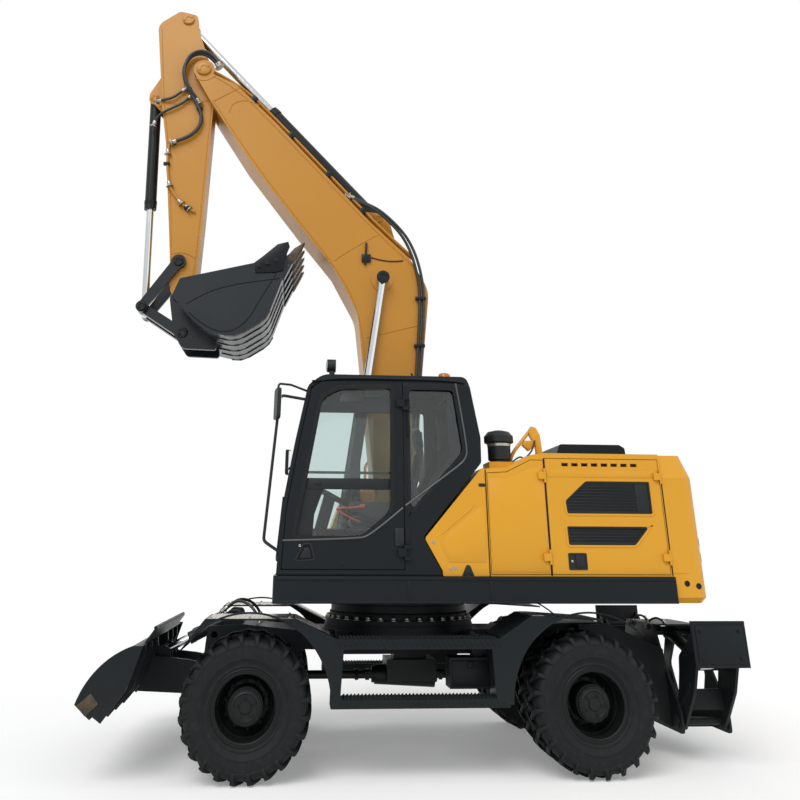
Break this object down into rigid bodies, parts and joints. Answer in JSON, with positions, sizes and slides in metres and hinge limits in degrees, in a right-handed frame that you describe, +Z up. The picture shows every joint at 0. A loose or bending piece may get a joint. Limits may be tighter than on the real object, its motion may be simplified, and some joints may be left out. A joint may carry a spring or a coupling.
{
  "type": "wheeled excavator",
  "caption": "Wheeled excavator with twin tyres, dozer blade, stabilisers, cab, one-piece boom, arm and bucket; boom raised and bucket curled.",
  "frame": {"origin": "on the ground under the swing axis of the upper structure", "axes": "+X forward towards the dozer blade, +Y to the cab side, +Z up"},
  "size_m": [5.7269, 2.6603, 7.8431],
  "materials": {
    "bare_steel": "worn",
    "black_plastic": "matt",
    "black_steel": "matt paint",
    "glass": "tinted",
    "rim": "satin paint",
    "rod_chrome": "polished",
    "seat": "woven",
    "tyre": "matt rubber",
    "working_gear": "satin paint",
    "yellow_panels": "satin paint"
  },
  "bodies": {
    "chassis": {"chassis_frame": "black_steel", "rear_frame": "black_steel", "slew_ring": "black_steel", "step_left": "black_steel", "step_right": "black_steel", "tool_boxes": "black_steel", "front_axle": "black_steel", "rear_axle": "black_steel", "driveline": "bare_steel"},
    "knuckle_left": {"knuckle_left": "black_steel"},
    "knuckle_right": {"knuckle_right": "black_steel"},
    "steer_rod": {"steer_rod": "rod_chrome"},
    "upper": {"deck": "black_steel", "counterweight": "yellow_panels", "cab_shell": "black_steel", "cab_glass": "glass", "cab_seat": "seat", "cab_console": "black_plastic", "hood_body": "yellow_panels", "engine": "bare_steel", "tank": "yellow_panels", "precleaner": "black_plastic", "mirrors": "black_plastic", "roof_lamps": "black_plastic"},
    "cab_door": {"cab_door": "black_steel", "door_glass": "glass"},
    "service_door_left": {"service_door_left": "yellow_panels"},
    "engine_door_left": {"engine_door_left": "yellow_panels"},
    "engine_door_right": {"engine_door_right": "yellow_panels"},
    "engine_lid": {"engine_lid": "black_steel"},
    "boom": {"boom": "working_gear"},
    "boom_barrel": {"boom_barrels": "black_steel"},
    "boom_rod": {"boom_rods": "rod_chrome"},
    "arm": {"arm": "working_gear"},
    "arm_barrel": {"arm_barrel": "black_steel"},
    "arm_rod": {"arm_rod": "rod_chrome"},
    "bucket": {"bucket": "black_steel"},
    "bucket_barrel": {"bucket_barrel": "black_steel"},
    "bucket_rod": {"bucket_rod": "rod_chrome"},
    "rocker": {"rocker": "black_steel"},
    "bucket_link": {"bucket_link": "black_steel"},
    "blade": {"blade": "black_steel"},
    "blade_barrel": {"blade_barrels": "black_steel"},
    "blade_rod": {"blade_rods": "rod_chrome"},
    "wheel_front_left": {"tyre_front_left": "tyre", "rim_front_left": "rim"},
    "wheel_front_right": {"tyre_front_right": "tyre", "rim_front_right": "rim"},
    "wheel_rear_left": {"tyre_rear_left": "tyre", "rim_rear_left": "rim"},
    "wheel_rear_right": {"tyre_rear_right": "tyre", "rim_rear_right": "rim"},
    "stabiliser_leg_left": {"stabiliser_leg_left": "black_steel"},
    "stabiliser_pad_left": {"stabiliser_pad_left": "black_steel"},
    "stabiliser_left_barrel": {"stabiliser_barrel_left": "black_steel"},
    "stabiliser_left_rod": {"stabiliser_rod_left": "rod_chrome"},
    "stabiliser_leg_right": {"stabiliser_leg_right": "black_steel"},
    "stabiliser_pad_right": {"stabiliser_pad_right": "black_steel"},
    "stabiliser_right_barrel": {"stabiliser_barrel_right": "black_steel"},
    "stabiliser_right_rod": {"stabiliser_rod_right": "rod_chrome"}
  },
  "joints": [
    {"name": "steer_left", "type": "hinge", "parent": "chassis", "child": "knuckle_left", "pos_m": [1.35, 0.775, 0.52], "axis": [0, 0, 1], "range_deg": [-30, 30]},
    {"name": "steer_right", "type": "hinge", "parent": "chassis", "child": "knuckle_right", "pos_m": [1.35, -0.775, 0.52], "axis": [0, 0, 1], "range_deg": [-30, 30]},
    {"name": "steer_rod_slide", "type": "slide", "parent": "chassis", "child": "steer_rod", "axis": [0, 1, 0], "range_m": [-0.12243, 0.12243]},
    {"name": "roll_front_left", "type": "hinge", "parent": "knuckle_left", "child": "wheel_front_left", "pos_m": [1.35, 0.955, 0.52], "axis": [0, 1, 0], "continuous": true},
    {"name": "roll_front_right", "type": "hinge", "parent": "knuckle_right", "child": "wheel_front_right", "pos_m": [1.35, -0.955, 0.52], "axis": [0, 1, 0], "continuous": true},
    {"name": "roll_rear_left", "type": "hinge", "parent": "chassis", "child": "wheel_rear_left", "pos_m": [-1.45, 0.955, 0.52], "axis": [0, 1, 0], "continuous": true},
    {"name": "roll_rear_right", "type": "hinge", "parent": "chassis", "child": "wheel_rear_right", "pos_m": [-1.45, -0.955, 0.52], "axis": [0, 1, 0], "continuous": true},
    {"name": "swing", "type": "hinge", "parent": "chassis", "child": "upper", "pos_m": [0, 0, 1.205], "axis": [0, 0, 1], "continuous": true},
    {"name": "cab_door_hinge", "type": "hinge", "parent": "upper", "child": "cab_door", "pos_m": [0.075, 1.225, 2.3], "axis": [0, 0, 1], "range_deg": [0, 165]},
    {"name": "service_door_hinge", "type": "hinge", "parent": "upper", "child": "service_door_left", "pos_m": [-1.176, 1.218, 1.95], "axis": [0, 0, 1], "range_deg": [0, 100]},
    {"name": "engine_door_left_hinge", "type": "hinge", "parent": "upper", "child": "engine_door_left", "pos_m": [-2.228, 1.218, 1.95], "axis": [0, 0, 1], "range_deg": [0, 100]},
    {"name": "engine_door_right_hinge", "type": "hinge", "parent": "upper", "child": "engine_door_right", "pos_m": [-2.228, -1.218, 1.95], "axis": [0, 0, -1], "range_deg": [0, 100]},
    {"name": "engine_lid_hinge", "type": "hinge", "parent": "upper", "child": "engine_lid", "pos_m": [-1.26, 0, 2.498], "axis": [0, 1, 0], "range_deg": [0, 70]},
    {"name": "boom_lift", "type": "hinge", "parent": "upper", "child": "boom", "pos_m": [0.05, -0.06, 1.8], "axis": [0, -1, 0], "range_deg": [-57, 3]},
    {"name": "boom_cylinder_swing", "type": "hinge", "parent": "upper", "child": "boom_barrel", "pos_m": [0.59, -0.06, 1.52], "axis": [0, -1, 0], "range_deg": [-55.74, 3.48]},
    {"name": "boom_cylinder_slide", "type": "slide", "parent": "boom_barrel", "child": "boom_rod", "axis": [-0.1477, 0, 0.989], "range_m": [-0.57746, 0.03323]},
    {"name": "arm_swing", "type": "hinge", "parent": "boom", "child": "arm", "pos_m": [2.275, -0.06, 6.979], "axis": [0, 1, 0], "range_deg": [-115, 0]},
    {"name": "arm_cylinder_swing", "type": "hinge", "parent": "boom", "child": "arm_barrel", "pos_m": [0.19, -0.06, 5.19], "axis": [0, -1, 0], "range_deg": [-0.57, 5.94]},
    {"name": "arm_cylinder_slide", "type": "slide", "parent": "arm_barrel", "child": "arm_rod", "axis": [0.6776, 0, 0.7355], "range_m": [-1.31639, 0.003]},
    {"name": "bucket_curl", "type": "hinge", "parent": "arm", "child": "bucket", "pos_m": [2.325, -0.06, 4.165], "axis": [0, 1, 0], "range_deg": [-150, 0]},
    {"name": "rocker_swing", "type": "hinge", "parent": "arm", "child": "rocker", "pos_m": [2.366, -0.06, 4.568], "axis": [0, -1, 0], "range_deg": [-0.57, 89.62]},
    {"name": "link_swing", "type": "hinge", "parent": "bucket", "child": "bucket_link", "pos_m": [2.256, -0.06, 3.777], "axis": [0, -1, 0], "range_deg": [-127.52, 0.57]},
    {"name": "bucket_cylinder_swing", "type": "hinge", "parent": "arm", "child": "bucket_barrel", "pos_m": [2.843, -0.06, 6.644], "axis": [0, -1, 0], "range_deg": [-0.57, 4.94]},
    {"name": "bucket_cylinder_slide", "type": "slide", "parent": "bucket_barrel", "child": "bucket_rod", "axis": [-0.0529, 0, -0.9986], "range_m": [-0.84959, 0.003]},
    {"name": "blade_lift", "type": "hinge", "parent": "chassis", "child": "blade", "pos_m": [1.7, 0, 0.65], "axis": [0, -1, 0], "range_deg": [-42, 0]},
    {"name": "blade_cylinder_swing", "type": "hinge", "parent": "chassis", "child": "blade_barrel", "pos_m": [1.545, 0, 1.105], "axis": [0, -1, 0], "range_deg": [-21.59, 0.57]},
    {"name": "blade_cylinder_slide", "type": "slide", "parent": "blade_barrel", "child": "blade_rod", "axis": [0.9046, 0, -0.4262], "range_m": [-0.003, 0.20626]},
    {"name": "stabiliser_left", "type": "hinge", "parent": "chassis", "child": "stabiliser_leg_left", "pos_m": [-2.585, 0.62, 0.3], "axis": [1, 0, 0], "range_deg": [-72, 0]},
    {"name": "stabiliser_left_cylinder_swing", "type": "hinge", "parent": "chassis", "child": "stabiliser_left_barrel", "pos_m": [-2.585, 0.19, 0.96], "axis": [1, 0, 0], "range_deg": [-20.8, 0.57]},
    {"name": "stabiliser_left_cylinder_slide", "type": "slide", "parent": "stabiliser_left_barrel", "child": "stabiliser_left_rod", "axis": [0, 0.9545, -0.2983], "range_m": [-0.003, 0.50902]},
    {"name": "stabiliser_pad_left", "type": "hinge", "parent": "stabiliser_leg_left", "child": "stabiliser_pad_left", "pos_m": [-2.585, 1.075, 0.945], "axis": [1, 0, 0], "range_deg": [-25, 25]},
    {"name": "stabiliser_right", "type": "hinge", "parent": "chassis", "child": "stabiliser_leg_right", "pos_m": [-2.585, -0.62, 0.3], "axis": [-1, 0, 0], "range_deg": [-72, 0]},
    {"name": "stabiliser_right_cylinder_swing", "type": "hinge", "parent": "chassis", "child": "stabiliser_right_barrel", "pos_m": [-2.585, -0.19, 0.96], "axis": [-1, 0, 0], "range_deg": [-20.8, 0.57]},
    {"name": "stabiliser_right_cylinder_slide", "type": "slide", "parent": "stabiliser_right_barrel", "child": "stabiliser_right_rod", "axis": [0, -0.9545, -0.2983], "range_m": [-0.003, 0.50902]},
    {"name": "stabiliser_pad_right", "type": "hinge", "parent": "stabiliser_leg_right", "child": "stabiliser_pad_right", "pos_m": [-2.585, -1.075, 0.945], "axis": [-1, 0, 0], "range_deg": [-25, 25]}
  ],
  "couplings": [
    {"joint": "steer_right", "follows": "steer_left", "ratio": 1},
    {"joint": "steer_rod_slide", "follows": "steer_left", "m_per_rad": 0.23},
    {"joint": "boom_cylinder_swing", "follows": "boom_lift", "ratio": 0.96785},
    {"joint": "boom_cylinder_slide", "follows": "boom_lift", "m_per_rad": 0.57744},
    {"joint": "arm_cylinder_swing", "follows": "arm_swing", "ratio": -0.046647},
    {"joint": "arm_cylinder_slide", "follows": "arm_swing", "m_per_rad": 0.65436},
    {"joint": "rocker_swing", "follows": "bucket_curl", "ratio": -0.59365},
    {"joint": "link_swing", "follows": "bucket_curl", "ratio": 0.84632},
    {"joint": "bucket_cylinder_swing", "follows": "bucket_curl", "ratio": -0.029085},
    {"joint": "bucket_cylinder_slide", "follows": "bucket_curl", "m_per_rad": 0.32337},
    {"joint": "blade_cylinder_swing", "follows": "blade_lift", "ratio": 0.50029},
    {"joint": "blade_cylinder_slide", "follows": "blade_lift", "m_per_rad": -0.27728},
    {"joint": "stabiliser_left_cylinder_swing", "follows": "stabiliser_left", "ratio": 0.28095},
    {"joint": "stabiliser_left_cylinder_slide", "follows": "stabiliser_left", "m_per_rad": -0.40268},
    {"joint": "stabiliser_right_cylinder_swing", "follows": "stabiliser_right", "ratio": 0.28095},
    {"joint": "stabiliser_right_cylinder_slide", "follows": "stabiliser_right", "m_per_rad": -0.40268}
  ]
}
